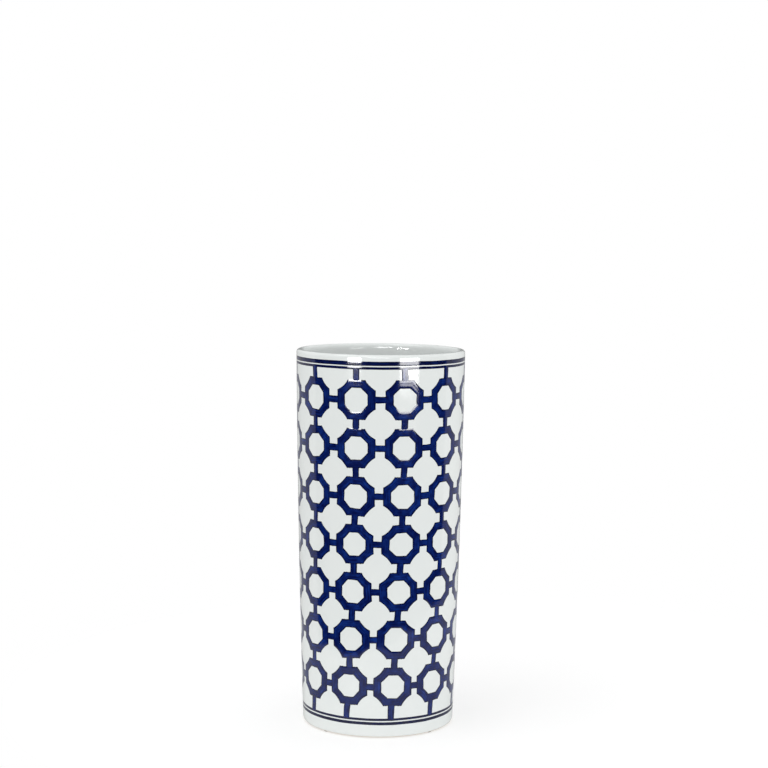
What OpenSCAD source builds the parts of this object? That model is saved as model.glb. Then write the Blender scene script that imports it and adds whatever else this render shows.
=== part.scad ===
// Round ceramic umbrella stand: a tapered, glazed cylinder, open at the top, with a cobalt
// lattice of linked octagons painted round it between two pairs of band lines.
//
// Frame: millimetres, +Z up, origin on the floor at the centre of the foot. The front is -Y.
// The clay is one solid. Each group of brush strokes is a thin raised skin on its wall.

/* [Overall size] */
// Height from the floor to the top of the rim
stand_h = 457; // [380:1:560]
// Outer diameter of the wall, carried up to the top of the rim
rim_d = 204.6; // [170:0.2:260]
// Outer diameter of the wall, carried down to the floor
base_d = 184; // [150:0.2:230]
// How far the wall swells beyond a straight taper at half height
wall_swell = 1.2; // [0:0.1:4]

/* [Clay body] */
// Thickness of the wall
wall_t = 7.5; // [5:0.1:10]
// Thickness of the floor of the well
floor_t = 8; // [5:0.1:14]
// Radius of the cove between the well's floor and its wall
cove_r = 8; // [3:0.5:14]
// Width of the foot ring
foot_w = 9; // [6:0.5:14]
// Height of the hollow inside the foot ring
foot_hollow_h = 3.5; // [1:0.5:6]
// How far the foot's outer edge is tucked in from the wall
foot_tuck = 2; // [0.5:0.1:4]
// Height of the rounded edge of the foot
foot_edge_h = 4.5; // [2:0.1:8]

/* [Floor pads] */
// Number of pads under the foot ring
pad_count = 4; // [3:1:8]
// Diameter of a pad, as a part of the foot ring's width
pad_fill = 0.85; // [0.5:0.05:0.95]
// Height that the pads hold the foot above the floor
pad_h = 1.2; // [0.5:0.1:3]

/* [Painted band lines] */
// Bare glaze between the top of the rim and the wide line
rim_margin = 8; // [6:0.2:14]
// Width of the wide line under the rim
rim_wide_w = 4; // [2:0.1:6]
// Width of the fine line under the rim
rim_fine_w = 2.1; // [1:0.1:4]
// Bare glaze between the two lines under the rim
rim_line_gap = 2.3; // [1:0.1:6]
// Bare glaze between the floor and the wide line near the foot
foot_margin = 16.8; // [12:0.2:24]
// Width of the wide line near the foot
base_wide_w = 2.7; // [2:0.1:6]
// Width of the fine line near the foot
base_fine_w = 2; // [1:0.1:4]
// Bare glaze between the two lines near the foot
base_line_gap = 2.4; // [1:0.1:6]

/* [Painted lattice] */
// Octagons round the stand
columns = 11; // [8:1:14]
// Rows of octagons from top to bottom
rows = 7; // [4:1:8]
// Length of the upright links between the fine line and the top row
top_link_l = 13; // [5:0.5:30]
// Length of the upright links between the lowest row and the fine line
base_link_l = 16; // [5:0.5:30]
// Gap between two octagons side by side where the stand is narrowest
side_gap = 6.5; // [4:0.1:14]
// Smallest gap between two rows of octagons
least_row_gap = 7; // [4:0.5:12]
// Width of the brush stroke that an octagon is painted with
stroke_w = 8.85; // [5:0.05:10.5]
// Width of the bars that link the octagons
bar_w = 7.2; // [4:0.1:9]
// Length of an outer flat from ear to ear, as a part of the octagon's width
flat_part = 0.47; // [0.4:0.005:0.55]
// Radius of the hollowed outer diagonals, as a part of the octagon's width
hollow_part = 0.61; // [0.4:0.01:1.2]
// Turn of the lowest row: the angle of the gap between the two front columns
low_row_turn = -5.5; // [-16:0.5:16]
// Turn that the columns make from the lowest row to the highest
column_turn = 5.6; // [-10:0.1:10]
// How far the middle row runs ahead of an even turn
turn_bow = 1.65; // [-3:0.05:3]
// Height that the paint stands off the wall
paint_t = 0.3; // [0.1:0.05:0.6]

/* [Hidden] */

glaze_white = [0.89, 0.91, 0.91];
cobalt = [0.04, 0.10, 0.36];
felt_grey = [0.45, 0.44, 0.42];

smooth = 96;
// Degrees between the points of a rounded edge
edge_step = 15;

// Lower edges of the band lines, and the room that they leave for the lattice
rim_wide_low = stand_h - rim_margin - rim_wide_w;
rim_fine_low = rim_wide_low - rim_line_gap - rim_fine_w;
base_fine_low = foot_margin + base_wide_w + base_line_gap;
base_fine_top = base_fine_low + base_fine_w;
lattice_top = rim_fine_low - top_link_l;
lattice_low = base_fine_top + base_link_l;

// The octagons fill the column pitch to the side gap, unless the rows would crowd
column_angle = 360 / columns;
column_pitch = PI * min(base_d, rim_d) / columns;
row_limit = (lattice_top - lattice_low - (rows - 1) * least_row_gap) / rows;
octagon_w = min(column_pitch - side_gap, row_limit);
flat_off = octagon_w / 2;
eye_w = octagon_w - 2 * stroke_w;
ear_off = octagon_w * flat_part / 2;
hollow_r = octagon_w * hollow_part;
low_row_h = lattice_low + flat_off;
high_row_h = lattice_top - flat_off;
row_pitch = (high_row_h - low_row_h) / (rows - 1);

// Distance from an octagon's centre to the centre of a hollowed diagonal's arc
half_chord = (flat_off - ear_off) / sqrt(2);
hollow_off = (flat_off + ear_off) / sqrt(2) + sqrt(hollow_r * hollow_r - half_chord * half_chord);

// Radii and heights of the clay body
lip_r = wall_t / 2;
lip_h = stand_h - lip_r;
edge_h = pad_h + foot_edge_h;
foot_r = wall_r(0) - foot_tuck;
well_h = pad_h + foot_hollow_h + floor_t;

// The wall is straight past each row of octagons and bends midway between two rows
bend_heights = [for (row = [rows - 1:-1:1]) row_h(row) - row_pitch / 2];

// Painted shapes are cut by prisms that reach from inside the wall to outside it
cut_in = min(base_d, rim_d) / 2 - 30;
cut_out = max(base_d, rim_d) / 2 + 10;

// Outer radius of the wall: a straight taper with the swell added
function wall_r(z) =
    let (t = z / stand_h)
    base_d / 2 + (rim_d - base_d) / 2 * t + wall_swell * 4 * t * (1 - t);

// Points up the wall between two heights, moved outward by "out"
function wall_points(low, high, out) =
    [for (z = concat([low], [for (bend = bend_heights) if (bend > low && bend < high) bend], [high]))
        [wall_r(z) + out, z]];

function reversed(points) = [for (i = [len(points) - 1:-1:0]) points[i]];

// Height of a row's centres, rows being counted from the top
function row_h(row) = high_row_h - (row - 1) * row_pitch;

// Angle of a column's centre line at a given height, from the front towards +X
function turn_at(column, z) =
    let (t = (z - low_row_h) / (high_row_h - low_row_h))
    low_row_turn + (column - 0.5) * column_angle + column_turn * t + turn_bow * 4 * t * (1 - t);

// Half section of the solid outside, with the foot's rounded edge, up to the lip
module outside_section() {
    edge = [for (a = [0:edge_step:90])
        [foot_r + (wall_r(edge_h) - foot_r) * sin(a), edge_h - foot_edge_h * cos(a)]];
    polygon(concat([[0, pad_h]], edge, wall_points(edge_h, lip_h, 0), [[0, lip_h]]));
}

// Half section of the space that umbrellas stand in, with its coved floor
module well_section() {
    cove_h = well_h + cove_r;
    cove_in = wall_r(cove_h) - wall_t - cove_r;
    cove = [for (a = [0:edge_step:90]) [cove_in + cove_r * sin(a), cove_h - cove_r * cos(a)]];
    polygon(concat([[0, well_h]], cove, wall_points(cove_h, lip_h, -wall_t), [[0, lip_h]]));
}

module foot_hollow() {
    cylinder(r = foot_r - foot_w, h = pad_h + foot_hollow_h, $fn = smooth);
}

// One fired piece: wall, rounded lip, floor and foot ring
module body() {
    color(glaze_white)
    difference() {
        rotate_extrude($fn = smooth)
        union() {
            difference() {
                outside_section();
                well_section();
            }
            translate([wall_r(lip_h) - lip_r, lip_h]) circle(r = lip_r, $fn = smooth);
        }
        foot_hollow();
    }
}

module floor_pads() {
    color(felt_grey)
    for (i = [1:pad_count])
        rotate((i - 0.5) * 360 / pad_count)
        translate([foot_r - foot_w / 2, 0, 0])
        cylinder(d = foot_w * pad_fill, h = pad_h, $fn = smooth);
}

// The skin of raised paint that every brushed shape is cut from
module paint_skin() {
    rotate_extrude($fn = smooth)
    polygon(concat(wall_points(edge_h, lip_h, 0), reversed(wall_points(edge_h, lip_h, paint_t))));
}

// Lays a flat shape on the wall, facing outward at the given turn and height
module brushed(turn, z) {
    color(cobalt)
    intersection() {
        paint_skin();
        rotate(turn)
        translate([0, -cut_in, z])
        rotate([90, 0, 0])
        linear_extrude(cut_out - cut_in)
        children();
    }
}

module band_line(low, w) {
    color(cobalt)
    intersection() {
        paint_skin();
        translate([0, 0, low]) cylinder(r = cut_out, h = w, $fn = smooth);
    }
}

// A square with its corners hollowed by arcs, round a plain octagonal eye
module octagon_outline() {
    difference() {
        square(octagon_w, center = true);
        for (a = [45:90:315])
            rotate(a) translate([hollow_off, 0]) circle(r = hollow_r, $fn = smooth);
        rotate(22.5) circle(d = eye_w / cos(22.5), $fn = 8);
    }
}

module octagons_row(row) {
    z = row_h(row);
    for (column = [1:columns]) brushed(turn_at(column, z), z) octagon_outline();
}

// Level bars, each from one octagon's flat to the next one's. Seen from above, the planes of
// those two flats meet at a point inside the wall and spread from there like a wedge.
module side_links_row(row) {
    half_angle = column_angle / 2;
    meet_r = flat_off / sin(half_angle);
    spread = (cut_out - meet_r) * tan(half_angle);
    z = row_h(row);
    color(cobalt)
    for (column = [1:columns])
        intersection() {
            paint_skin();
            translate([0, 0, z - bar_w / 2])
                linear_extrude(bar_w)
                rotate(turn_at(column + 0.5, z))
                polygon([[0, -meet_r], [-spread, -cut_out], [spread, -cut_out]]);
        }
}

// Upright bars that lean with the columns; the end tiers run to the fine band lines
module upright_links_tier(tier) {
    top = tier == 1 ? rim_fine_low : row_h(tier - 1) - flat_off;
    low = tier == rows + 1 ? base_fine_top : row_h(tier) + flat_off;
    middle = (top + low) / 2;
    half_h = (top - low) / 2;
    lean = (turn_at(1, top) - turn_at(1, low)) * PI / 180 * wall_r(middle) / 2;
    for (column = [1:columns])
        brushed(turn_at(column, middle), middle)
        polygon([
            [-lean - bar_w / 2, -half_h],
            [-lean + bar_w / 2, -half_h],
            [lean + bar_w / 2, half_h],
            [lean - bar_w / 2, half_h]]);
}

body();
floor_pads();
band_line(rim_wide_low, rim_wide_w);  // rim_line_wide
band_line(rim_fine_low, rim_fine_w);  // rim_line_fine
band_line(base_fine_low, base_fine_w);  // base_line_fine
band_line(foot_margin, base_wide_w);  // base_line_wide
for (row = [1:rows]) octagons_row(row);
for (row = [1:rows]) side_links_row(row);
for (tier = [1:rows + 1])
    upright_links_tier(tier);
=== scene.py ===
"""Round ceramic umbrella stand with a cobalt lattice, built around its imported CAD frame.

The clay body is turned from a half section. The decoration is laid on the wall as raised brush
strokes: a flat stroke template is copied round the stand and bent onto it by Geometry Nodes.
Everything is in metres, +Z up, with the origin on the floor at the centre of the foot.
"""

import math

import bpy
from mathutils import Matrix, Vector


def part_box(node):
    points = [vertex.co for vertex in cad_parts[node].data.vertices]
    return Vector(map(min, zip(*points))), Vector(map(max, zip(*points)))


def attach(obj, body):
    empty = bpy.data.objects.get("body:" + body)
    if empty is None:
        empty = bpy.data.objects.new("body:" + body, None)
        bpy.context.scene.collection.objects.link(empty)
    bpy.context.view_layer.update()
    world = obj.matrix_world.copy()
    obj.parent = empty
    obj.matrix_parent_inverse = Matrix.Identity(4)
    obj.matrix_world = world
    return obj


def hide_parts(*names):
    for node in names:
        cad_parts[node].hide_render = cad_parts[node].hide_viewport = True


bl_info = {
    "name": "Ceramic Umbrella Stand",
    "version": (1, 0, 0),
    "blender": (4, 5, 0),
    "location": "View3D > Sidebar > Umbrella Stand",
    "description": "Builds a glazed umbrella stand with a brushed cobalt lattice",
    "category": "Add Mesh",
}

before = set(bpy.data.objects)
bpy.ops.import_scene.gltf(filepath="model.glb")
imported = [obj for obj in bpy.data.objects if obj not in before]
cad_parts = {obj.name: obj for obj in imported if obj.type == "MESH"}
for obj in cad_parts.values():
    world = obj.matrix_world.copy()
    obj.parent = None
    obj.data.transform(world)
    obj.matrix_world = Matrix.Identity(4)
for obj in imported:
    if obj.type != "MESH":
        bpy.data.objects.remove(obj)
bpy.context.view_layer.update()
MM = 0.001
BODY = "root"
STAND_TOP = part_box("body")[1][2]
FOOT_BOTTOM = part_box("body")[0][2]
ROWS = sum(name.startswith("octagons_row_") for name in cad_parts)
# How much the brush streaks show, from 0 to 1, in the lattice and in the dense lines
LATTICE_STREAKS = 0.75
LINE_STREAKS = 0.25
# Cross lines along one bar and along one band line
BAR_STEPS = 6
LINE_STEPS = 360
# How far the end bars lap onto the band lines
LINE_LAP = 0.5 * MM
# First seeds of the waver; the rows of octagons use their own numbers
SIDE_SEED, UPRIGHT_SEED, LINE_SEED = 10, 20, 40
BAND_LINES = ("rim_line_wide", "rim_line_fine", "base_line_fine", "base_line_wide")


# ---------------------------------------------------------------- sizes and colours

def size(name, description, value_mm):
    """A length property, given in millimetres and held in metres."""
    return bpy.props.FloatProperty(
        name=name, description=description, default=value_mm * MM, unit="LENGTH", precision=5)


def turn(name, description, degrees):
    """An angle property, given in degrees and held in radians."""
    return bpy.props.FloatProperty(
        name=name, description=description, default=math.radians(degrees), unit="ROTATION")


class ClaySizes(bpy.types.PropertyGroup):
    """Sizes of the clay body and its pads."""

    rim_d: size("Rim diameter", "Outer diameter of the wall carried up to the rim", 204.6)
    base_d: size("Base diameter", "Outer diameter of the wall carried down to the floor", 184.0)
    swell: size("Swell", "How far the wall swells beyond a straight taper", 1.2)
    wall: size("Wall", "Thickness of the wall", 7.5)
    floor: size("Floor", "Thickness of the floor of the well", 8.0)
    cove: size("Cove", "Radius between the well's floor and its wall", 8.0)
    lip_fall: size("Lip fall", "Height over which the lip rounds into the well", 7.0)
    foot: size("Foot ring", "Width of the foot ring", 9.0)
    foot_hollow: size("Foot hollow", "Height of the hollow inside the foot ring", 3.5)
    foot_tuck: size("Foot tuck", "How far the foot is tucked in from the wall", 2.0)
    foot_edge: size("Foot edge", "Height of the foot's rounded outer edge", 4.5)
    foot_round: size("Foot rounding", "Rounding of the foot ring's inner edge", 1.0)
    steps: bpy.props.IntProperty(name="Steps", description="Faces round the body", default=288)


class PaintSizes(bpy.types.PropertyGroup):
    """Sizes of the brushwork."""

    columns: bpy.props.IntProperty(
        name="Columns", description="Octagons round the stand", default=11)
    stroke: size("Stroke", "Width of the stroke that an octagon is painted with", 8.85)
    bleed: size("Bleed", "How far the colour creeps past a drawn edge in the firing", 0.48)
    bar: size("Bar", "Width of the bars that link the octagons", 7.2)
    lap: size("Lap", "How far a bar's end laps onto its octagon", 1.8)
    bar_relief: bpy.props.FloatProperty(
        name="Bar relief", description="Relief of a bar as a part of an octagon's", default=0.6)
    line_relief: bpy.props.FloatProperty(
        name="Line relief", description="Relief of a band line as a part of an octagon's",
        default=0.45)
    flat_part: bpy.props.FloatProperty(
        name="Flat", description="Length of an outer flat as a part of the octagon", default=0.47)
    hollow_part: bpy.props.FloatProperty(
        name="Hollow", description="Radius of a hollowed diagonal as a part of the octagon",
        default=0.61)
    relief: size("Relief", "Height of the paint's ridges above the wall", 0.10)
    bury: size("Bury", "Depth of the paint's underside in the wall", 0.10)
    drift: size("Drift", "How far a slow waver of the brush strays", 0.55)
    shake: size("Shake", "How far a quick waver of the brush strays", 0.16)
    wheel_drift: bpy.props.FloatProperty(
        name="Wheel drift", description="Part of the waver left in lines banded on a wheel",
        default=0.25)
    tilt: turn("Tilt", "Largest turn of a hand-set octagon", 0.9)
    low_row_turn: turn("Low row turn", "Angle of the gap between the two front columns", -5.5)
    column_turn: turn("Column turn", "Turn of the columns from the lowest row to the highest", 5.6)
    turn_bow: turn("Turn bow", "How far the middle row runs ahead of an even turn", 1.65)


def linear(hexcode):
    """An sRGB hex value as linear red, green, blue and alpha."""
    parts = [int(hexcode[i:i + 2], 16) / 255 for i in (0, 2, 4)]
    return tuple(c / 12.92 if c <= 0.04045 else ((c + 0.055) / 1.055) ** 2.4 for c in parts) + (1.0,)


def shade(name, description, hexcode):
    """A colour property, given as an sRGB hex value and held in linear light."""
    return bpy.props.FloatVectorProperty(
        name=name, description=description, default=linear(hexcode)[:3], subtype="COLOR", size=3,
        min=0.0, max=1.0)


class FinishColours(bpy.types.PropertyGroup):
    """Colours of the glaze, the paint, the clay and the felt."""

    glaze: shade("Glaze", "White glaze", "EAEDEB")
    glaze_cool: shade("Cool glaze", "Slow cooler patches in the glaze", "E4E9E8")
    cobalt: shade("Cobalt", "Middle of a brush stroke", "010B44")
    cobalt_deep: shade("Deep cobalt", "Edges of a stroke, where the colour pools", "00052C")
    cobalt_thin: shade("Thin cobalt", "Streaks where the brush ran dry", "103180")
    band: shade("Band cobalt", "Dense colour of the band lines", "00032E")
    # Painted shade: the well's glaze is a grey darker than the outer glaze, standing in for the shade
    # that falls inside the well
    inner: shade("Inner glaze", "Thinner glaze inside the well", "C2C6C6")
    clay: shade("Bare clay", "Unglazed clay of the foot ring", "D9CFC0")
    felt: shade("Felt", "Pressed felt of the pads", "73706B")


class StageSizes(bpy.types.PropertyGroup):
    """Place of the camera and size of the floor."""

    distance: bpy.props.FloatProperty(
        name="Distance", description="From the stand's axis to the camera", default=2.181,
        unit="LENGTH")
    height: bpy.props.FloatProperty(
        name="Height", description="Height of the camera", default=0.6167, unit="LENGTH")
    pitch: turn("Pitch", "How far the camera looks down", 5.306)
    yaw: turn("Yaw", "How far the camera looks to the right", 0.11)
    roll: turn("Roll", "How far the camera leans", 0.507)
    lens: bpy.props.FloatProperty(name="Lens", description="Focal length in mm", default=84.41)
    floor_radius: bpy.props.FloatProperty(
        name="Floor radius", description="Radius of the pale floor", default=0.6, unit="LENGTH")
    floor_x: bpy.props.FloatProperty(
        name="Floor X", description="Middle of the floor along X", default=0.12, unit="LENGTH")
    floor_y: bpy.props.FloatProperty(
        name="Floor Y", description="Middle of the floor along Y", default=0.14, unit="LENGTH")
    floor_glow: bpy.props.FloatProperty(
        name="Floor glow", description="Light the floor adds, unseen in the glaze", default=0.46)


# ---------------------------------------------------------------- small helpers

def add_node(tree, kind, inputs=None, **settings):
    """Adds a node, sets its settings, then fills or links its inputs."""
    made = tree.nodes.new(kind)
    for name, value in settings.items():
        setattr(made, name, value)
    for key, value in (inputs or {}).items():
        if isinstance(value, bpy.types.NodeSocket):
            tree.links.new(value, made.inputs[key])
        else:
            made.inputs[key].default_value = value
    return made


def colour(name):
    """A finish colour as linear red, green, blue and alpha."""
    return tuple(getattr(bpy.context.scene.stand_colours, name)) + (1.0,)


def wall_radius(z):
    """Outer radius of the wall at a height."""
    clay = bpy.context.scene.stand_clay
    t = z / STAND_TOP
    taper = clay.base_d / 2 + (clay.rim_d - clay.base_d) / 2 * t
    return taper + clay.swell * 4 * t * (1 - t)


def mesh_object(name, points, faces):
    """Makes a smooth shaded object at the origin."""
    mesh = bpy.data.meshes.new(name)
    mesh.from_pydata(points, [], faces)
    mesh.shade_smooth()
    made = bpy.data.objects.new(name, mesh)
    bpy.context.collection.objects.link(made)
    return made


def deliver(piece, slot, *replaced):
    """Rides a finished piece on the stand and hides the CAD nodes it stands for."""
    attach(piece, BODY)
    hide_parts(*replaced)


# ---------------------------------------------------------------- materials

def new_material(name):
    """An empty node material and its tree."""
    made = bpy.data.materials.new(name)
    made.use_nodes = True
    made.node_tree.nodes.clear()
    return made, made.node_tree


def blend_colour(tree, factor, low, high):
    """Mixes two colours or colour sockets; 6, 7 and output 2 are the Mix node's colour sockets."""
    return add_node(
        tree, "ShaderNodeMix", {0: factor, 6: low, 7: high}, data_type="RGBA").outputs[2]


def glaze_ripple(tree):
    """Bump shared by glaze and paint: slow ripple where the glaze ran, and a fine orange peel."""
    place = add_node(tree, "ShaderNodeTexCoord").outputs["Object"]
    ripple = add_node(
        tree, "ShaderNodeTexNoise", {"Vector": place, "Scale": 1 / (45 * MM), "Detail": 1.0})
    slow = add_node(
        tree, "ShaderNodeBump",
        {"Height": ripple.outputs["Fac"], "Distance": 0.1 * MM, "Strength": 1.0})
    peel = add_node(
        tree, "ShaderNodeTexNoise", {"Vector": place, "Scale": 1 / (4 * MM), "Detail": 2.0})
    return add_node(
        tree, "ShaderNodeBump",
        {"Height": peel.outputs["Fac"], "Distance": 0.01 * MM, "Strength": 1.0,
         "Normal": slow.outputs["Normal"]})


def white_glaze(name, main, patches):
    """White gloss glaze, dipped and fired: cool, glassy, with slow clouds and rare tiny specks."""
    made, tree = new_material(name)
    place = add_node(tree, "ShaderNodeTexCoord").outputs["Object"]
    cloud = add_node(
        tree, "ShaderNodeTexNoise", {"Vector": place, "Scale": 1 / (70 * MM), "Detail": 3.0})
    clouded = blend_colour(tree, cloud.outputs["Fac"], colour(main), colour(patches))
    cells = add_node(
        tree, "ShaderNodeTexVoronoi", {"Vector": place, "Scale": 1 / (26 * MM)}, feature="F1")
    speck = add_node(
        tree, "ShaderNodeMapRange",
        {"Value": cells.outputs["Distance"], "From Min": 0.011, "From Max": 0.016,
         "To Min": 0.5, "To Max": 0.0})
    specked = blend_colour(tree, speck.outputs["Result"], clouded, colour("clay"))
    smear = add_node(
        tree, "ShaderNodeTexNoise", {"Vector": place, "Scale": 1 / (30 * MM), "Detail": 4.0})
    gloss = add_node(
        tree, "ShaderNodeMapRange",
        {"Value": smear.outputs["Fac"], "From Min": 0.3, "From Max": 0.7,
         "To Min": 0.05, "To Max": 0.1})
    shader = add_node(
        tree, "ShaderNodeBsdfPrincipled",
        {"Base Color": specked, "Roughness": gloss.outputs["Result"], "IOR": 1.55,
         "Normal": glaze_ripple(tree).outputs["Normal"]})
    add_node(tree, "ShaderNodeOutputMaterial", {"Surface": shader.outputs["BSDF"]})
    return made


def brushed_cobalt(name, middle, streaked):
    """Cobalt underglaze laid with a brush, then clear glazed: the colour pools dark along both
    edges of a stroke, thins in streaks along it, and differs a little from stroke to stroke."""
    made, tree = new_material(name)
    strokes = add_node(tree, "ShaderNodeUVMap", uv_map="brush")
    split = add_node(tree, "ShaderNodeSeparateXYZ", {"Vector": strokes.outputs["UV"]})
    tone = add_node(tree, "ShaderNodeAttribute", attribute_name="tone")
    # Streaks are about 14 mm long and a ninth of a stroke wide.
    along = add_node(
        tree, "ShaderNodeMath", {0: split.outputs["X"], 1: 1 / (14 * MM)}, operation="MULTIPLY")
    across = add_node(tree, "ShaderNodeMath", {0: split.outputs["Y"], 1: 9.0}, operation="MULTIPLY")
    shift = add_node(
        tree, "ShaderNodeMath", {0: tone.outputs["Fac"], 1: 40.0}, operation="MULTIPLY")
    lane = add_node(
        tree, "ShaderNodeCombineXYZ",
        {"X": along.outputs["Value"], "Y": across.outputs["Value"], "Z": shift.outputs["Value"]})
    bristle = add_node(
        tree, "ShaderNodeTexNoise",
        {"Vector": lane.outputs["Vector"], "Scale": 1.0, "Detail": 3.0, "Roughness": 0.55})
    streak = add_node(
        tree, "ShaderNodeMapRange",
        {"Value": bristle.outputs["Fac"], "From Min": 0.46, "From Max": 0.72,
         "To Min": 0.0, "To Max": streaked})
    paler = add_node(
        tree, "ShaderNodeMapRange",
        {"Value": tone.outputs["Fac"], "From Min": 0.0, "From Max": 1.0,
         "To Min": 0.55, "To Max": 1.25})
    # Pools of colour about 7 mm across, where the brush rested or was reloaded.
    place = add_node(tree, "ShaderNodeTexCoord").outputs["Object"]
    pools = add_node(
        tree, "ShaderNodeTexNoise", {"Vector": place, "Scale": 1 / (7 * MM), "Detail": 2.0})
    shallow = add_node(
        tree, "ShaderNodeMapRange",
        {"Value": pools.outputs["Fac"], "From Min": 0.42, "From Max": 0.68,
         "To Min": 0.0, "To Max": streaked * 0.6})
    loose = add_node(
        tree, "ShaderNodeMath",
        {0: streak.outputs["Result"], 1: shallow.outputs["Result"]}, operation="ADD")
    thin = add_node(
        tree, "ShaderNodeMath",
        {0: loose.outputs["Value"], 1: paler.outputs["Result"]}, operation="MULTIPLY", use_clamp=True)
    base = blend_colour(tree, thin.outputs["Value"], colour(middle), colour("cobalt_thin"))
    # The pooled edge: distance from the stroke's middle line, 0 there and 1 at either edge.
    centred = add_node(
        tree, "ShaderNodeMath", {0: split.outputs["Y"], 1: 0.5}, operation="SUBTRACT")
    outward = add_node(
        tree, "ShaderNodeMath", {0: centred.outputs["Value"]}, operation="ABSOLUTE")
    pooled = add_node(
        tree, "ShaderNodeMapRange",
        {"Value": outward.outputs["Value"], "From Min": 0.3, "From Max": 0.44,
         "To Min": 0.0, "To Max": 0.9}, interpolation_type="SMOOTHSTEP")
    edged = blend_colour(tree, pooled.outputs["Result"], base, colour("cobalt_deep"))
    marks = add_node(
        tree, "ShaderNodeBump",
        {"Height": bristle.outputs["Fac"], "Distance": 0.008 * MM, "Strength": 1.0,
         "Normal": glaze_ripple(tree).outputs["Normal"]})
    shader = add_node(
        tree, "ShaderNodeBsdfPrincipled",
        {"Base Color": edged, "Roughness": 0.08, "IOR": 1.55, "Normal": marks.outputs["Normal"]})
    add_node(tree, "ShaderNodeOutputMaterial", {"Surface": shader.outputs["BSDF"]})
    return made


def bare_clay():
    """Earthenware left unglazed on the foot ring: matt, warm, with fine grog and kiln dust."""
    made, tree = new_material("bare_earthenware")
    place = add_node(tree, "ShaderNodeTexCoord").outputs["Object"]
    grog = add_node(
        tree, "ShaderNodeTexNoise", {"Vector": place, "Scale": 1 / (0.9 * MM), "Detail": 4.0})
    dust = add_node(
        tree, "ShaderNodeTexNoise", {"Vector": place, "Scale": 1 / (22 * MM), "Detail": 3.0})
    dark = tuple(c * 0.72 for c in colour("clay")[:3]) + (1.0,)
    grain = blend_colour(tree, grog.outputs["Fac"], dark, colour("clay"))
    dusty = blend_colour(tree, dust.outputs["Fac"], grain, colour("clay"))
    bump = add_node(
        tree, "ShaderNodeBump",
        {"Height": grog.outputs["Fac"], "Distance": 0.12 * MM, "Strength": 0.8})
    shader = add_node(
        tree, "ShaderNodeBsdfPrincipled",
        {"Base Color": dusty, "Roughness": 0.88, "Normal": bump.outputs["Normal"]})
    add_node(tree, "ShaderNodeOutputMaterial", {"Surface": shader.outputs["BSDF"]})
    return made


def pressed_felt():
    """Pressed wool felt, die cut into discs: matt mottled grey with matted fibres."""
    made, tree = new_material("pressed_felt")
    place = add_node(tree, "ShaderNodeTexCoord").outputs["Object"]
    fibre = add_node(
        tree, "ShaderNodeTexNoise",
        {"Vector": place, "Scale": 1 / (0.5 * MM), "Detail": 5.0, "Distortion": 2.5})
    dark = tuple(c * 0.45 for c in colour("felt")[:3]) + (1.0,)
    mottled = blend_colour(tree, fibre.outputs["Fac"], dark, colour("felt"))
    bump = add_node(
        tree, "ShaderNodeBump",
        {"Height": fibre.outputs["Fac"], "Distance": 0.2 * MM, "Strength": 1.0})
    shader = add_node(
        tree, "ShaderNodeBsdfPrincipled",
        {"Base Color": mottled, "Roughness": 0.95, "Sheen Weight": 0.4,
         "Normal": bump.outputs["Normal"]})
    add_node(tree, "ShaderNodeOutputMaterial", {"Surface": shader.outputs["BSDF"]})
    return made


def shared_material(name, make, *settings):
    """The named material, made on first use."""
    return bpy.data.materials.get(name) or make(*settings)


# ---------------------------------------------------------------- clay body

def quarter(centre, reach, start, steps=10):
    """Points on a quarter ellipse, from a start angle in degrees, turning left."""
    angles = [math.radians(start + 90 * i / steps) for i in range(steps + 1)]
    return [(centre[0] + reach[0] * math.cos(a), centre[1] + reach[1] * math.sin(a)) for a in angles]


def half_section(clay):
    """The clay's outline, from the middle of its underside round the wall to the well's floor.
    Returns the glazed hollow, the bare foot and the glazed rest as three runs of points, and how
    many of the last points are inside the well."""
    foot_r = wall_radius(0) - clay.foot_tuck
    ring_r = foot_r - clay.foot
    hollow_z = FOOT_BOTTOM + clay.foot_hollow
    edge_z = FOOT_BOTTOM + clay.foot_edge
    lip = clay.wall / 2
    lip_z = STAND_TOP - lip
    lip_centre = (wall_radius(lip_z) - lip, lip_z)
    well_z = hollow_z + clay.floor
    cove_z = well_z + clay.cove
    cove_centre = (wall_radius(cove_z) - clay.wall - clay.cove, cove_z)
    small = clay.foot_round
    tuck = quarter((foot_r, edge_z), (wall_radius(edge_z) - foot_r, clay.foot_edge), -90)
    bare_steps = 5
    rise = [edge_z + (lip_z - edge_z) * i / 70 for i in range(1, 70)]
    fall_z = STAND_TOP - clay.lip_fall
    fall_centre = (wall_radius(fall_z) - lip, fall_z)
    sink = [fall_z + (cove_z - fall_z) * i / 50 for i in range(1, 50)]
    hollow = [(0.0, hollow_z), (ring_r / 2, hollow_z)]
    hollow += reversed(quarter((ring_r - small, hollow_z - small), (small, small), 0, 5))
    bare = quarter((ring_r + small, FOOT_BOTTOM + small), (small, small), 180, 5)
    bare += [(ring_r + clay.foot / 2, FOOT_BOTTOM)] + tuck[:bare_steps]
    glazed = tuck[bare_steps:] + [(wall_radius(z), z) for z in rise]
    glazed += quarter(lip_centre, (lip, lip), 0)
    glazed += quarter(fall_centre, (clay.wall - lip, clay.lip_fall), 90)[1:]
    outside = len(glazed)
    glazed += [(wall_radius(z) - clay.wall, z) for z in sink]
    glazed += reversed(quarter(cove_centre, (clay.cove, clay.cove), -90))
    glazed += [(cove_centre[0] / 2, well_z), (0.0, well_z)]
    return hollow, bare, glazed, len(glazed) - outside


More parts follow.
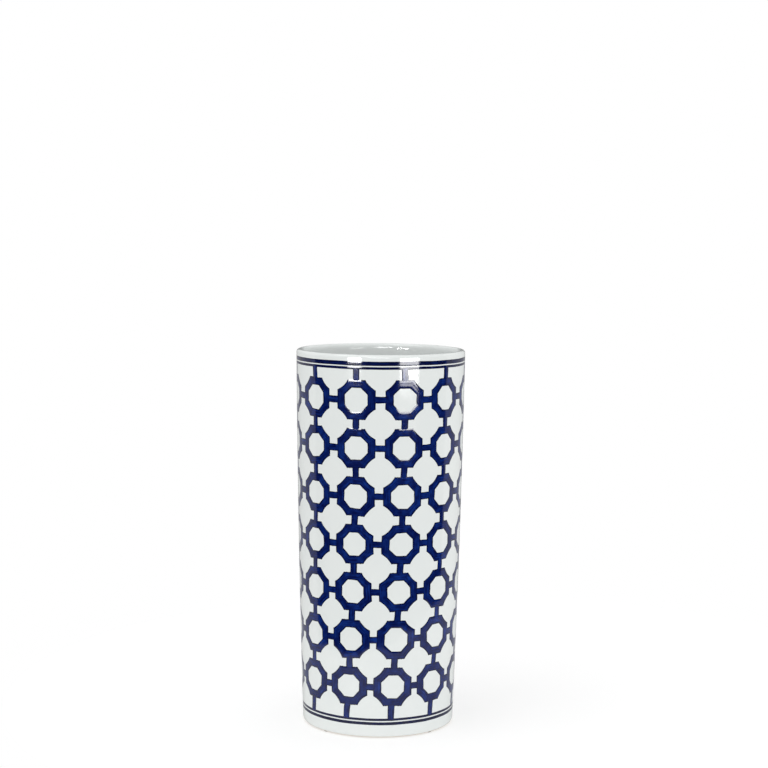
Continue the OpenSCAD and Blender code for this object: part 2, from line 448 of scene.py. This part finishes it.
def turned(outline, steps):
    """Points and faces of a closed outline turned about the Z axis; its ends lie on the axis."""
    points = [(0.0, 0.0, outline[0][1])]
    for r, z in outline[1:-1]:
        for k in range(steps):
            a = 2 * math.pi * k / steps
            points.append((r * math.sin(a), -r * math.cos(a), z))
    points.append((0.0, 0.0, outline[-1][1]))
    rings = len(outline) - 2
    last = len(points) - 1
    faces = [(0, 1 + (k + 1) % steps, 1 + k) for k in range(steps)]
    for i in range(rings - 1):
        low, high = 1 + i * steps, 1 + (i + 1) * steps
        faces += [(low + k, low + (k + 1) % steps, high + (k + 1) % steps, high + k)
                  for k in range(steps)]
    top = 1 + (rings - 1) * steps
    faces += [(top + k, top + (k + 1) % steps, last) for k in range(steps)]
    return points, faces


class STAND_OT_clay_body(bpy.types.Operator):
    """Turn the fired clay body: foot ring, wall, rounded lip and well in one piece."""

    bl_idname = "stand.clay_body"
    bl_label = "Clay body"

    def execute(self, context):
        clay = context.scene.stand_clay
        hollow, bare, glazed, inner = half_section(clay)
        points, faces = turned(hollow + bare + glazed, clay.steps)
        body = mesh_object("clay_body", points, faces)
        # The well gets the darker grey glaze, which paints the shade inside it.
        for finish in (white_glaze("white_gloss_glaze", "glaze", "glaze_cool"), bare_clay(),
                       white_glaze("thin_inner_glaze", "inner", "inner")):
            body.data.materials.append(finish)
        bands = (len(hollow) - 1, len(hollow) - 1 + len(bare), len(hollow + bare + glazed) - inner)
        for face in body.data.polygons:
            band = face.index // clay.steps
            if bands[0] <= band < bands[1]:
                face.material_index = 1
            elif band >= bands[2]:
                face.material_index = 2
        deliver(body, "glazed_clay", "body")
        return {"FINISHED"}


# ---------------------------------------------------------------- floor pads

class STAND_OT_floor_pads(bpy.types.Operator):
    """Stick felt discs under the foot ring, each with a softly worn edge."""

    bl_idname = "stand.floor_pads"
    bl_label = "Floor pads"

    def execute(self, context):
        low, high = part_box("floor_pads")
        clay = context.scene.stand_clay
        ring_r = wall_radius(0) - clay.foot_tuck - clay.foot / 2
        height = high[2] - low[2]
        pad_r = high[0] - ring_r * math.cos(math.radians(45))
        edge = height * 0.4
        section = [(0.0, low[2])] + quarter((pad_r - edge, low[2] + edge), (edge, edge), -90, 5)
        section += quarter((pad_r - edge, high[2] - edge), (edge, edge), 0, 5) + [(0.0, high[2])]
        disc_points, disc_faces = turned(section, 40)
        points, faces = [], []
        for k in range(4):
            a = math.radians(45 + 90 * k)
            start = len(points)
            points += [(x + ring_r * math.cos(a), y + ring_r * math.sin(a), z)
                       for x, y, z in disc_points]
            faces += [tuple(i + start for i in face) for face in disc_faces]
        pads = mesh_object("felt_pads", points, faces)
        pads.data.materials.append(shared_material("pressed_felt", pressed_felt))
        deliver(pads, "felt", "floor_pads")
        return {"FINISHED"}


# ---------------------------------------------------------------- brush strokes, laid flat

# Height of the paint across a stroke, as parts of its width and of the relief: it feathers out
# at each edge, and dries thickest a little way in. The pairs of points close to the edges keep
# the smooth shading of the top apart from the buried skirt.
RIDGE = ((0.0, 0.04), (0.006, 0.07), (0.05, 0.30), (0.12, 0.66), (0.22, 0.95), (0.35, 0.93),
         (0.5, 0.86), (0.65, 0.93), (0.78, 0.95), (0.88, 0.66), (0.95, 0.30), (0.994, 0.07),
         (1.0, 0.04))


def flat_stroke(name, runs, ends, lift=1.0):
    """A mesh of strokes laid flat and facing -Y. Each run is one stroke: a list of cross lines,
    each a pair of (x, z) edge points. Runs follow each other. The ends are "joined" into a ring
    here, "capped" with a face, or left "open" for the wall to bring together."""
    paint = bpy.context.scene.stand_paint
    ridge = [(v, h * paint.relief * lift) for v, h in RIDGE]
    section = [(0.0, -paint.bury)] + ridge + [(1.0, -paint.bury)]
    width = len(section)
    lines = [line for run in runs for line in run[:-1]]
    if ends != "joined":
        lines.append(runs[-1][-1])
    points = []
    for (ax, az), (bx, bz) in lines:
        points += [(ax + (bx - ax) * v, -h, az + (bz - az) * v) for v, h in section]
    faces, marks, stroke_ids, seen = [], [], [], []
    at = 0
    for stroke, run in enumerate(runs):
        along = 0.0
        for here, beyond in zip(run, run[1:]):
            step = math.dist(middle(here), middle(beyond))
            following = (at + 1) % len(lines)
            for j in range(width):
                k = (j + 1) % width
                faces.append((at * width + j, at * width + k,
                              following * width + k, following * width + j))
                v, w = section[j][0], section[k][0]
                marks += [(along, v), (along, w), (along + step, w), (along + step, v)]
                stroke_ids.append(stroke)
                seen.append(0 < j < width - 2)
            along += step
            at += 1
    if ends == "capped":
        for line, order in ((0, 1), (at, -1)):
            faces.append(tuple(line * width + j for j in range(width))[::-order])
            marks += [(0.0, 0.5)] * width
            stroke_ids.append(0)
            seen.append(False)
    mesh = bpy.data.meshes.new(name)
    mesh.from_pydata(points, [], faces)
    brush = mesh.uv_layers.new(name="brush")
    for spot, mark in zip(brush.data, marks):
        spot.uv = mark
    mesh.attributes.new("stroke", "INT", "FACE").data.foreach_set("value", stroke_ids)
    # Only the seen top is smooth, so the buried skirt doesn't turn its edges.
    mesh.polygons.foreach_set("use_smooth", seen)
    return mesh


def middle(line):
    """The middle of a cross line."""
    (ax, az), (bx, bz) = line
    return ((ax + bx) / 2, (az + bz) / 2)


def between(start, end, t):
    """The point a part of the way from one point to another."""
    return (start[0] + (end[0] - start[0]) * t, start[1] + (end[1] - start[1]) * t)


def octagon_runs(width, paint):
    """Eight mitred strokes round an octagonal eye; the diagonals are hollowed outside."""
    eye_r = (width / 2 - paint.stroke - paint.bleed) / math.cos(math.pi / 8)
    width += 2 * paint.bleed
    ear = width * paint.flat_part / 2
    hollow_r = width * paint.hollow_part
    half_chord = (width / 2 - ear) / math.sqrt(2)
    hollow_off = (width / 2 + ear) / math.sqrt(2) + math.sqrt(hollow_r ** 2 - half_chord ** 2)
    swing = math.asin(half_chord / hollow_r)
    steps = 6
    runs = []
    for side in range(8):
        base = math.pi / 4 * side
        run = []
        for i in range(steps + 1):
            t = i / steps
            eye = between(
                (eye_r * math.cos(math.pi / 8), -eye_r * math.sin(math.pi / 8)),
                (eye_r * math.cos(math.pi / 8), eye_r * math.sin(math.pi / 8)), t)
            if side % 2 == 0:
                rim = between((width / 2, -ear), (width / 2, ear), t)
            else:
                a = math.pi + swing * (1 - 2 * t)
                rim = (hollow_off + hollow_r * math.cos(a), hollow_r * math.sin(a))
            run.append((rotated(eye, base), rotated(rim, base)))
        runs.append(run)
    return runs


def rotated(point, a):
    """A flat point turned about the origin."""
    return (point[0] * math.cos(a) - point[1] * math.sin(a),
            point[0] * math.sin(a) + point[1] * math.cos(a))


def bar_run(start, end, width, steps):
    """One straight stroke between two (x, z) points."""
    length = math.dist(start, end)
    half = width / 2 + bpy.context.scene.stand_paint.bleed
    side = ((end[1] - start[1]) / length * half, -(end[0] - start[0]) / length * half)
    run = []
    # Lines close to both ends keep the shading of the top apart from the end faces.
    close = 0.05 * MM / length
    for t in [0.0, close] + [i / steps for i in range(1, steps)] + [1 - close, 1.0]:
        x, z = between(start, end, t)
        run.append(((x - side[0], z - side[1]), (x + side[0], z + side[1])))
    return run


# ---------------------------------------------------------------- brush strokes, laid on the wall

def wall_radius_nodes(tree, given, z):
    """Nodes that give the wall's outer radius at a height, as wall_radius does."""
    taper = add_node(
        tree, "ShaderNodeMapRange",
        {"Value": z, "From Min": 0.0, "From Max": given["Stand Height"],
         "To Min": given["Base Radius"], "To Max": given["Rim Radius"]}, clamp=False)
    spread = add_node(
        tree, "ShaderNodeMapRange",
        {"Value": z, "From Min": 0.0, "From Max": given["Stand Height"],
         "To Min": -1.0, "To Max": 1.0}, clamp=False)
    square = add_node(
        tree, "ShaderNodeMath",
        {0: spread.outputs["Result"], 1: spread.outputs["Result"]}, operation="MULTIPLY")
    rest = add_node(tree, "ShaderNodeMath", {0: 1.0, 1: square.outputs[0]}, operation="SUBTRACT")
    return add_node(
        tree, "ShaderNodeMath",
        {0: given["Swell"], 1: rest.outputs[0], 2: taper.outputs["Result"]},
        operation="MULTIPLY_ADD").outputs[0]


def wrapped_nodes(tree, radius, angle, z):
    """Nodes that give the point at a radius, angle from the front and height."""
    sine = add_node(tree, "ShaderNodeMath", {0: angle}, operation="SINE")
    cosine = add_node(tree, "ShaderNodeMath", {0: angle}, operation="COSINE")
    x = add_node(tree, "ShaderNodeMath", {0: radius, 1: sine.outputs[0]}, operation="MULTIPLY")
    y = add_node(tree, "ShaderNodeMath", {0: radius, 1: cosine.outputs[0]}, operation="MULTIPLY")
    front = add_node(tree, "ShaderNodeMath", {0: y.outputs[0], 1: -1.0}, operation="MULTIPLY")
    return add_node(
        tree, "ShaderNodeCombineXYZ",
        {"X": x.outputs[0], "Y": front.outputs[0], "Z": z}).outputs["Vector"]


def waver_nodes(tree, place, wavelength, reach, seed):
    """Nodes that give a sideways stray of the brush, smooth along the wall."""
    apart = add_node(
        tree, "ShaderNodeCombineXYZ", {"X": 0.0, "Y": 0.0, "Z": seed}).outputs["Vector"]
    moved = add_node(tree, "ShaderNodeVectorMath", {0: place, 1: apart}, operation="ADD")
    noise = add_node(
        tree, "ShaderNodeTexNoise",
        {"Vector": moved.outputs["Vector"], "Scale": 1 / wavelength, "Detail": 0.0})
    centred = add_node(
        tree, "ShaderNodeVectorMath",
        {0: noise.outputs["Color"], 1: (0.5, 0.5, 0.5)}, operation="SUBTRACT")
    # Noise strays by about a quarter from its middle, so four times that is the full reach.
    gain = add_node(tree, "ShaderNodeMath", {0: reach, 1: 4.0}, operation="MULTIPLY")
    return add_node(
        tree, "ShaderNodeVectorMath",
        {0: centred.outputs["Vector"], "Scale": gain.outputs[0]},
        operation="SCALE").outputs["Vector"]


def brushwork_tree():
    """Geometry Nodes that copy flat strokes round the stand and bend them onto its wall."""
    tree = bpy.data.node_groups.new("lay_brushwork", "GeometryNodeTree")
    face = tree.interface
    face.new_socket("Geometry", in_out="INPUT", socket_type="NodeSocketGeometry")
    face.new_socket("Geometry", in_out="OUTPUT", socket_type="NodeSocketGeometry")
    for name in ("Copies", "Seed"):
        face.new_socket(name, in_out="INPUT", socket_type="NodeSocketInt")
    for name in ("First Turn", "Height", "Base Radius", "Rim Radius", "Swell", "Stand Height",
                 "Drift", "Shake", "Tilt"):
        face.new_socket(name, in_out="INPUT", socket_type="NodeSocketFloat")
    face.new_socket("Paint", in_out="INPUT", socket_type="NodeSocketMaterial")
    given = add_node(tree, "NodeGroupInput").outputs

    # Copies of the flat strokes, each knowing its number
    whole = add_node(tree, "GeometryNodeGeometryToInstance", {0: given["Geometry"]})
    copies = add_node(
        tree, "GeometryNodeDuplicateElements",
        {"Geometry": whole.outputs["Instances"], "Amount": given["Copies"]}, domain="INSTANCE")
    numbered = add_node(
        tree, "GeometryNodeStoreNamedAttribute",
        {"Geometry": copies.outputs["Geometry"], "Name": "copy",
         "Value": copies.outputs["Duplicate Index"]}, data_type="FLOAT", domain="INSTANCE")
    loose = add_node(
        tree, "GeometryNodeRealizeInstances", {"Geometry": numbered.outputs["Geometry"]})
    number = add_node(
        tree, "GeometryNodeInputNamedAttribute", {"Name": "copy"}, data_type="FLOAT")

    # A tone for each stroke of each copy
    stroke = add_node(
        tree, "GeometryNodeInputNamedAttribute", {"Name": "stroke"}, data_type="FLOAT")
    stroke_id = add_node(
        tree, "ShaderNodeMath",
        {0: number.outputs["Attribute"], 1: 16.0, 2: stroke.outputs["Attribute"]},
        operation="MULTIPLY_ADD")
    rounded = add_node(tree, "ShaderNodeMath", {0: stroke_id.outputs[0]}, operation="ROUND")
    tone = add_node(
        tree, "FunctionNodeRandomValue",
        {"ID": rounded.outputs[0], "Seed": given["Seed"]}, data_type="FLOAT")
    toned = add_node(
        tree, "GeometryNodeStoreNamedAttribute",
        {"Geometry": loose.outputs["Geometry"], "Name": "tone", "Value": tone.outputs[1]},
        data_type="FLOAT", domain="FACE")

    # A small tilt for each copy, as of a shape set by hand
    least = add_node(tree, "ShaderNodeMath", {0: given["Tilt"], 1: -1.0}, operation="MULTIPLY")
    tilt = add_node(
        tree, "FunctionNodeRandomValue",
        {2: least.outputs[0], 3: given["Tilt"], "ID": number.outputs["Attribute"],
         "Seed": given["Seed"]}, data_type="FLOAT")
    tilted = add_node(
        tree, "ShaderNodeVectorRotate",
        {"Vector": add_node(tree, "GeometryNodeInputPosition").outputs["Position"],
         "Angle": tilt.outputs[1]}, rotation_type="Y_AXIS")
    flat = add_node(tree, "ShaderNodeSeparateXYZ", {"Vector": tilted.outputs["Vector"]})

    # Where the middle of each stroke falls on the wall, and how the brush strays there
    row_radius = wall_radius_nodes(tree, given, given["Height"])
    step = add_node(
        tree, "ShaderNodeMath", {0: 2 * math.pi, 1: given["Copies"]}, operation="DIVIDE")
    start = add_node(
        tree, "ShaderNodeMath",
        {0: number.outputs["Attribute"], 1: step.outputs[0], 2: given["First Turn"]},
        operation="MULTIPLY_ADD")
    reach = add_node(
        tree, "ShaderNodeMath", {0: flat.outputs["X"], 1: row_radius}, operation="DIVIDE")
    angle = add_node(
        tree, "ShaderNodeMath", {0: start.outputs[0], 1: reach.outputs[0]}, operation="ADD")
    height = add_node(
        tree, "ShaderNodeMath", {0: flat.outputs["Z"], 1: given["Height"]}, operation="ADD")
    place = wrapped_nodes(tree, row_radius, angle.outputs[0], height.outputs[0])
    drift = waver_nodes(tree, place, 24 * MM, given["Drift"], 0.0)
    shake = waver_nodes(tree, place, 5 * MM, given["Shake"], given["Seed"])
    stray = add_node(
        tree, "ShaderNodeSeparateXYZ",
        {0: add_node(tree, "ShaderNodeVectorMath", {0: drift, 1: shake}, operation="ADD").outputs[0]})

    # The strayed place, bent onto the wall with the paint's height added
    aside = add_node(
        tree, "ShaderNodeMath", {0: stray.outputs["X"], 1: row_radius}, operation="DIVIDE")
    final_angle = add_node(
        tree, "ShaderNodeMath", {0: angle.outputs[0], 1: aside.outputs[0]}, operation="ADD")
    final_z = add_node(
        tree, "ShaderNodeMath", {0: height.outputs[0], 1: stray.outputs["Z"]}, operation="ADD")
    wall = wall_radius_nodes(tree, given, final_z.outputs[0])
    surface = add_node(
        tree, "ShaderNodeMath", {0: wall, 1: flat.outputs["Y"]}, operation="SUBTRACT")
    bent = wrapped_nodes(tree, surface.outputs[0], final_angle.outputs[0], final_z.outputs[0])
    placed = add_node(
        tree, "GeometryNodeSetPosition", {"Geometry": toned.outputs["Geometry"], "Position": bent})
    welded = add_node(
        tree, "GeometryNodeMergeByDistance",
        {"Geometry": placed.outputs["Geometry"], "Distance": 0.001 * MM})
    single = add_node(
        tree, "GeometryNodeRealizeInstances", {"Geometry": welded.outputs["Geometry"]})
    painted = add_node(
        tree, "GeometryNodeSetMaterial",
        {"Geometry": single.outputs["Geometry"], "Material": given["Paint"]})
    add_node(tree, "NodeGroupOutput", {"Geometry": painted.outputs["Geometry"]})
    return tree


def column_turn(column, z):
    """Angle of a column's centre line at a height, from the front towards +X."""
    paint = bpy.context.scene.stand_paint
    low, high = row_height(ROWS), row_height(1)
    t = (z - low) / (high - low)
    even = paint.low_row_turn + (column - 0.5) * 2 * math.pi / paint.columns
    return even + paint.column_turn * t + paint.turn_bow * 4 * t * (1 - t)


def row_height(row):
    """Height of a row's centres, from the CAD row's box."""
    low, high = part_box(f"octagons_row_{row}")
    return (low[2] + high[2]) / 2


def lay(node, mesh, paint_material, copies, first_turn, height, tilt, seed, steadied=1.0):
    """Lays flat strokes on the wall and returns them as one plain mesh object."""
    clay, paint = bpy.context.scene.stand_clay, bpy.context.scene.stand_paint
    tree = bpy.data.node_groups.get("lay_brushwork") or brushwork_tree()
    piece = bpy.data.objects.new("painted_" + node, mesh)
    bpy.context.collection.objects.link(piece)
    modifier = piece.modifiers.new("Brushwork", "NODES")
    modifier.node_group = tree
    values = {
        "Copies": copies, "Seed": seed, "First Turn": first_turn, "Height": height,
        "Base Radius": clay.base_d / 2, "Rim Radius": clay.rim_d / 2, "Swell": clay.swell,
        "Stand Height": STAND_TOP, "Drift": paint.drift * steadied,
        "Shake": paint.shake * steadied, "Tilt": tilt,
        "Paint": paint_material}
    for item in tree.interface.items_tree:
        if item.in_out == "INPUT" and item.name in values:
            modifier[item.identifier] = values[item.name]
    evaluated = piece.evaluated_get(bpy.context.evaluated_depsgraph_get())
    laid = bpy.data.meshes.new_from_object(evaluated)
    piece.modifiers.clear()
    piece.data = laid
    bpy.data.meshes.remove(mesh)
    laid.name = piece.name
    return piece


class STAND_OT_band_lines(bpy.types.Operator):
    """Band the two lines under the rim and the two near the foot, laid on a turning wheel."""

    bl_idname = "stand.band_lines"
    bl_label = "Band lines"

    def execute(self, context):
        paint = context.scene.stand_paint
        dense = shared_material(
            "banded_cobalt", brushed_cobalt, "banded_cobalt", "band", LINE_STREAKS)
        for seed, node in enumerate(BAND_LINES):
            low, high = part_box(node)
            height = (low[2] + high[2]) / 2
            circumference = 2 * math.pi * wall_radius(height)
            run = bar_run((0.0, 0.0), (circumference, 0.0), high[2] - low[2], LINE_STEPS)
            mesh = flat_stroke(node, [run], "open", paint.line_relief)
            # A half turn puts the place where the line's ends meet at the back.
            line = lay(node, mesh, dense, 1, math.pi, height, 0.0, LINE_SEED + seed,
                       paint.wheel_drift)
            deliver(line, "cobalt_bands", node)
        return {"FINISHED"}


class STAND_OT_octagons(bpy.types.Operator):
    """Brush the rows of octagons, each one of eight mitred strokes."""

    bl_idname = "stand.octagons"
    bl_label = "Octagons"

    def execute(self, context):
        paint = context.scene.stand_paint
        for row in range(1, ROWS + 1):
            node = f"octagons_row_{row}"
            low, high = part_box(node)
            mesh = flat_stroke(node, octagon_runs(high[2] - low[2], paint), "joined")
            z = row_height(row)
            laid = lay(node, mesh, lattice_paint(), paint.columns, column_turn(1, z), z,
                       paint.tilt, row)
            deliver(laid, "cobalt_lattice", node)
        return {"FINISHED"}


def lattice_paint():
    """The brushed cobalt of the lattice."""
    return shared_material("brushed_cobalt", brushed_cobalt, "brushed_cobalt", "cobalt", LATTICE_STREAKS)


class STAND_OT_side_links(bpy.types.Operator):
    """Brush the level bars between octagons, lapping a little onto each."""

    bl_idname = "stand.side_links"
    bl_label = "Side links"

    def execute(self, context):
        paint = context.scene.stand_paint
        for row in range(1, ROWS + 1):
            node = f"side_links_row_{row}"
            z = row_height(row)
            low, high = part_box(f"octagons_row_{row}")
            pitch = 2 * math.pi * wall_radius(z) / paint.columns
            half = (pitch - (high[2] - low[2])) / 2 + paint.lap
            run = bar_run((-half, 0.0), (half, 0.0), paint.bar, BAR_STEPS)
            mesh = flat_stroke(node, [run], "capped", paint.bar_relief)
            laid = lay(node, mesh, lattice_paint(), paint.columns, column_turn(1.5, z), z, 0.0,
                       SIDE_SEED + row)
            deliver(laid, "cobalt_lattice", node)
        return {"FINISHED"}


class STAND_OT_upright_links(bpy.types.Operator):
    """Brush the upright bars, which lean with the columns, from band line to band line."""

    bl_idname = "stand.upright_links"
    bl_label = "Upright links"

    def execute(self, context):
        paint = context.scene.stand_paint
        for tier in range(1, ROWS + 2):
            node = f"upright_links_tier_{tier}"
            low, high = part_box(node)
            z = (low[2] + high[2]) / 2
            half = (high[2] - low[2]) / 2
            lean = (column_turn(1, high[2]) - column_turn(1, low[2])) * wall_radius(z) / 2
            top_lap = LINE_LAP if tier == 1 else paint.lap
            low_lap = LINE_LAP if tier == ROWS + 1 else paint.lap
            run = bar_run((-lean, -half - low_lap), (lean, half + top_lap), paint.bar, BAR_STEPS)
            mesh = flat_stroke(node, [run], "capped", paint.bar_relief)
            laid = lay(node, mesh, lattice_paint(), paint.columns, column_turn(1, z), z, 0.0,
                       UPRIGHT_SEED + tier)
            deliver(laid, "cobalt_lattice", node)
        return {"FINISHED"}


# ---------------------------------------------------------------- stage

def area_light(name, place, target, width, height, radiance):
    """A rectangular soft box that faces a target, set by how bright its face looks."""
    lamp = bpy.data.lights.new(name, "AREA")
    lamp.shape = "RECTANGLE"
    lamp.size = width
    lamp.size_y = height
    lamp.energy = radiance * math.pi * width * height
    made = bpy.data.objects.new(name, lamp)
    bpy.context.collection.objects.link(made)
    made.location = place
    made.rotation_euler = (Vector(target) - Vector(place)).to_track_quat("-Z", "Y").to_euler()
    made.visible_camera = False
    return made


def around(azimuth, distance, z):
    """A place at an angle from the front, in degrees towards +X."""
    a = math.radians(azimuth)
    return (distance * math.sin(a), -distance * math.cos(a), z)


class STAND_OT_stage(bpy.types.Operator):
    """Set the pale floor, the studio lights and the camera."""

    bl_idname = "stand.stage"
    bl_label = "Stage"

    def execute(self, context):
        scene = context.scene
        stage = scene.stand_stage
        scene.view_settings.view_transform = "Standard"
        self.lay_floor(stage)
        self.hang_lights()
        self.light_world(scene)
        self.place_camera(scene, stage)
        return {"FINISHED"}

    def lay_floor(self, stage):
        """A pale round table top. A glow of its own, left out of reflections, keeps it white."""
        steps = 128
        rim = [around(360 * k / steps, stage.floor_radius, 0.0) for k in range(steps)]
        rim = [(x + stage.floor_x, y + stage.floor_y, z) for x, y, z in rim]
        floor = mesh_object("floor", rim, [tuple(range(steps))])
        made, tree = new_material("white_table_top")
        ray = add_node(tree, "ShaderNodeLightPath")
        matt = add_node(
            tree, "ShaderNodeMath", {0: 1.0, 1: ray.outputs["Is Glossy Ray"]}, operation="SUBTRACT")
        glow = add_node(
            tree, "ShaderNodeMath", {0: matt.outputs[0], 1: stage.floor_glow}, operation="MULTIPLY")
        shader = add_node(
            tree, "ShaderNodeBsdfPrincipled",
            {"Base Color": linear("C4C4C4"), "Roughness": 0.8,
             "Emission Color": (1.0, 1.0, 1.0, 1.0), "Emission Strength": glow.outputs[0]})
        add_node(tree, "ShaderNodeOutputMaterial", {"Surface": shader.outputs["BSDF"]})
        floor.data.materials.append(made)

    def hang_lights(self):
        """Three strip boxes and two side cards that light no matt surface and show only as
        reflections, and a soft box overhead that casts the shadow to the right."""
        strip_distance, card_z, card_height = 2.5, 0.45, 1.9
        for name, azimuth, low_z, high_z, width, radiance in (
                ("strip_left", -35.0, 0.237, 0.75, 0.80, 34.0),
                ("strip_right", 38.6, 0.135, 0.75, 1.17, 13.0),
                ("strip_front", -4.0, 0.80, 1.40, 1.20, 10.0)):
            z = (low_z + high_z) / 2
            strip = area_light(name, around(azimuth, strip_distance, z), (0.0, 0.0, z), width,
                               high_z - low_z, radiance)
            strip.visible_diffuse = False
        for name, x, front_y, back_x, back_y, radiance in (
                ("card_left", -1.0, 0.0, -0.68, 1.45, 0.48),
                ("card_right", 1.07, 0.03, 0.68, 1.45, 0.48)):
            place = ((x + back_x) / 2, (front_y + back_y) / 2, card_z)
            card = area_light(name, place, (0.0, 0.0, card_z),
                              math.hypot(x - back_x, front_y - back_y), card_height, radiance)
            card.visible_diffuse = False
        area_light("overhead", (-0.8, -0.6, 2.0), (0.0, 0.0, 0.1), 1.3, 1.3, 1.7)

    def light_world(self, scene):
        """White to the camera, a dark room to glossy surfaces, and to matt ones a soft light that
        is dimmer from the left."""
        world = bpy.data.worlds.new("studio")
        world.use_nodes = True
        tree = world.node_tree
        tree.nodes.clear()
        ray = add_node(tree, "ShaderNodeLightPath")
        direction = add_node(tree, "ShaderNodeTexCoord")
        axes = add_node(tree, "ShaderNodeSeparateXYZ", {0: direction.outputs["Generated"]})
        side_level = add_node(
            tree, "ShaderNodeMapRange",
            {"Value": axes.outputs["X"], "From Min": -1.0, "From Max": 1.0,
             "To Min": 0.76, "To Max": 1.08})
        matt = add_node(
            tree, "ShaderNodeBackground",
            {"Color": (1, 1, 1, 1), "Strength": side_level.outputs["Result"]})
        gloss = add_node(tree, "ShaderNodeBackground", {"Color": (1, 1, 1, 1), "Strength": 0.02})
        seen = add_node(tree, "ShaderNodeBackground", {"Color": (1, 1, 1, 1), "Strength": 1.0})
        indirect = add_node(
            tree, "ShaderNodeMixShader",
            {0: ray.outputs["Is Glossy Ray"], 1: matt.outputs[0], 2: gloss.outputs[0]})
        final = add_node(
            tree, "ShaderNodeMixShader",
            {0: ray.outputs["Is Camera Ray"], 1: indirect.outputs[0], 2: seen.outputs[0]})
        add_node(tree, "ShaderNodeOutputWorld", {"Surface": final.outputs[0]})
        scene.world = world

    def place_camera(self, scene, stage):
        """In front, a little above the middle, looking slightly down."""
        p, y, r = stage.pitch, stage.yaw, stage.roll
        level_right = Vector((math.cos(y), -math.sin(y), 0.0))
        forward = Vector((math.sin(y) * math.cos(p), math.cos(y) * math.cos(p), -math.sin(p)))
        level_up = level_right.cross(forward)
        right = level_right * math.cos(r) + level_up * math.sin(r)
        up = level_up * math.cos(r) - level_right * math.sin(r)
        lens = bpy.data.cameras.new("camera")
        lens.lens = stage.lens
        camera = bpy.data.objects.new("camera", lens)
        bpy.context.collection.objects.link(camera)
        turned_axes = Matrix((right, up, -forward)).transposed().to_4x4()
        camera.matrix_world = Matrix.Translation((0.0, -stage.distance, stage.height)) @ turned_axes
        scene.camera = camera


# ---------------------------------------------------------------- panel and registration

STEPS = ("clay_body", "floor_pads", "band_lines", "octagons", "side_links", "upright_links", "stage")


class STAND_PT_panel(bpy.types.Panel):
    """Lists the stand's building steps and sizes."""

    bl_idname = "STAND_PT_panel"
    bl_label = "Umbrella Stand"
    bl_space_type = "VIEW_3D"
    bl_region_type = "UI"
    bl_category = "Umbrella Stand"

    def draw(self, context):
        for step in STEPS:
            self.layout.operator("stand." + step)
        for group in ("stand_clay", "stand_paint", "stand_colours", "stand_stage"):
            values = getattr(context.scene, group)
            box = self.layout.box()
            for name in values.__annotations__:
                box.prop(values, name)


GROUPS = {"stand_clay": ClaySizes, "stand_paint": PaintSizes, "stand_colours": FinishColours,
          "stand_stage": StageSizes}
OPERATORS = (STAND_OT_clay_body, STAND_OT_floor_pads, STAND_OT_band_lines, STAND_OT_octagons,
             STAND_OT_side_links, STAND_OT_upright_links, STAND_OT_stage)


def register():
    """Registers the classes and gives the scene its groups of settings."""
    for group in GROUPS.values():
        bpy.utils.register_class(group)
    for operator in OPERATORS:
        bpy.utils.register_class(operator)
    bpy.utils.register_class(STAND_PT_panel)
    for name, group in GROUPS.items():
        setattr(bpy.types.Scene, name, bpy.props.PointerProperty(type=group))


def unregister():
    """Takes away what register added."""
    for name in GROUPS:
        delattr(bpy.types.Scene, name)
    bpy.utils.unregister_class(STAND_PT_panel)
    for made in reversed(tuple(GROUPS.values()) + OPERATORS):
        bpy.utils.unregister_class(made)


def main():
    """Builds the stand and its stage."""
    register()
    for step in STEPS:
        getattr(bpy.ops.stand, step)()
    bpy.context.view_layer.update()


if __name__ == "__main__":
    main()
